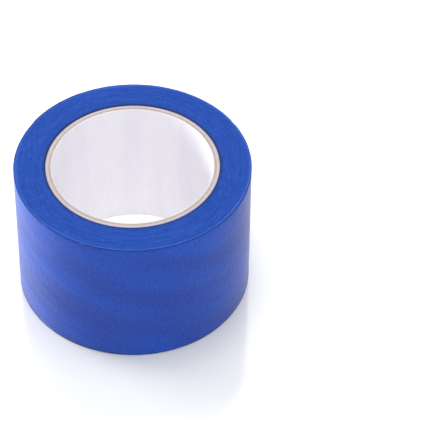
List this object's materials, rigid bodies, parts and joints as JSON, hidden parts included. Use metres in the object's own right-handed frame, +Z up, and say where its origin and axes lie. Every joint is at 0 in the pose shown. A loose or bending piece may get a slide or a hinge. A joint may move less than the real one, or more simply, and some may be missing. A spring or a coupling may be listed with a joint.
{
  "type": "masking tape roll",
  "caption": "Wide roll of blue crepe paper masking tape on a spirally wound paperboard core, lying on one end, with a free end that peels up.",
  "frame": {"origin": "on the roll's axis, at the flat end that the roll lies on", "axes": "+Z up along the roll's axis, towards the other end; the tape stops at 150 degrees round from +X, anticlockwise seen from above"},
  "size_m": [0.1117, 0.1119, 0.072],
  "materials": {
    "liner_paper": "smooth white liner paper",
    "kraft_paper": "brown kraft paper, cut edge",
    "core_board": "light grey-tan solid paperboard, cut edge",
    "core_wrap": "light grey-tan solid paperboard",
    "tape_paper": "blue saturated crepe paper with a thin release coat",
    "tape_adhesive": "tacky rubber adhesive, nearly clear over blue paper"
  },
  "bodies": {
    "roll": {"core_liner": "liner_paper", "core_kraft_ply": "kraft_paper", "core_board_ply_1": "core_board", "core_board_ply_2": "core_board", "core_board_ply_3": "core_board", "core_outer_wrap": "core_wrap", "tape_winding": "tape_paper"},
    "free_end": {"tape_free_end_backing": "tape_paper", "tape_free_end_adhesive": "tape_adhesive"}
  },
  "joints": [
    {"name": "free_end_peel", "type": "hinge", "parent": "roll", "child": "free_end", "pos_m": [-0.02743, 0.04882, 0.036], "axis": [0, 0, -1], "range_deg": [0, 160]}
  ]
}
